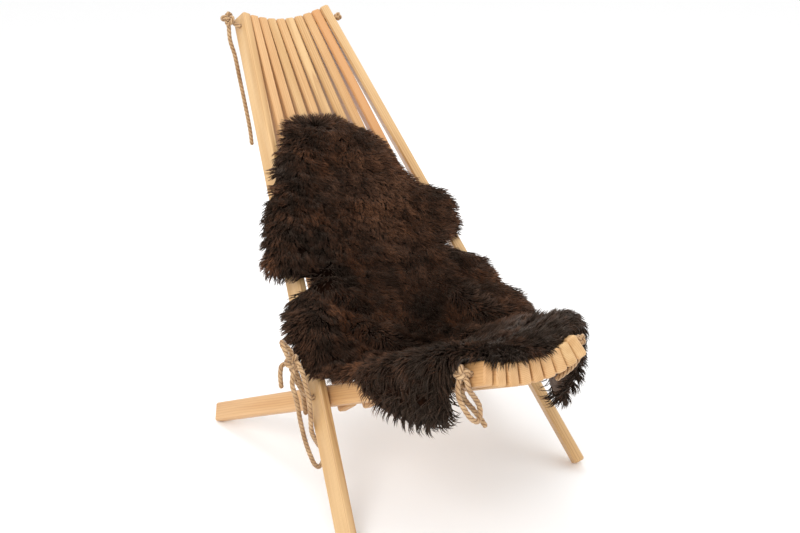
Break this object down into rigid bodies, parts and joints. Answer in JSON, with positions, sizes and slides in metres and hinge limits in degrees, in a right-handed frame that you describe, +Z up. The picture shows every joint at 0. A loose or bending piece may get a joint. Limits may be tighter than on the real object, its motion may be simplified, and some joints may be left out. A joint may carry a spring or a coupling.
{
  "type": "sheepskin on slatted lounge chair",
  "caption": "Dark long-wool sheepskin lying down the back and over the seat of a low slatted pine lounge chair laced together with jute rope.",
  "frame": {"origin": "on the floor, under the middle of the box around the chair and the skin, without the hanging rope ends", "axes": "+Z up, +X to the right of someone facing the chair, +Y towards the chair's back"},
  "size_m": [0.6712, 1.0574, 0.894],
  "materials": {
    "pine": "oiled",
    "wool": "long dense clumped wool",
    "jute": "twisted natural fibre"
  },
  "bodies": {
    "root": {"back_slat_01": "pine", "back_slat_02": "pine", "back_slat_03": "pine", "back_slat_04": "pine", "back_slat_05": "pine", "back_slat_06": "pine", "back_slat_07": "pine", "back_slat_08": "pine", "back_slat_09": "pine", "back_slat_10": "pine", "seat_slat_01": "pine", "seat_slat_02": "pine", "seat_slat_03": "pine", "seat_slat_04": "pine", "seat_slat_05": "pine", "seat_slat_06": "pine", "seat_slat_07": "pine", "seat_slat_08": "pine", "seat_slat_09": "pine", "sheepskin": "wool", "top_rope": "jute", "front_rope": "jute", "hinge_rope": "jute", "top_knot": "jute", "top_stopper": "jute", "front_knot": "jute", "front_stopper": "jute", "hinge_knot": "jute", "hinge_stopper": "jute", "hinge_loop": "jute", "hinge_bow": "jute", "hinge_end_outer": "jute", "hinge_end_inner": "jute", "front_loop": "jute", "front_end": "jute", "front_end_right": "jute", "top_end": "jute"}
  },
  "joints": []
}
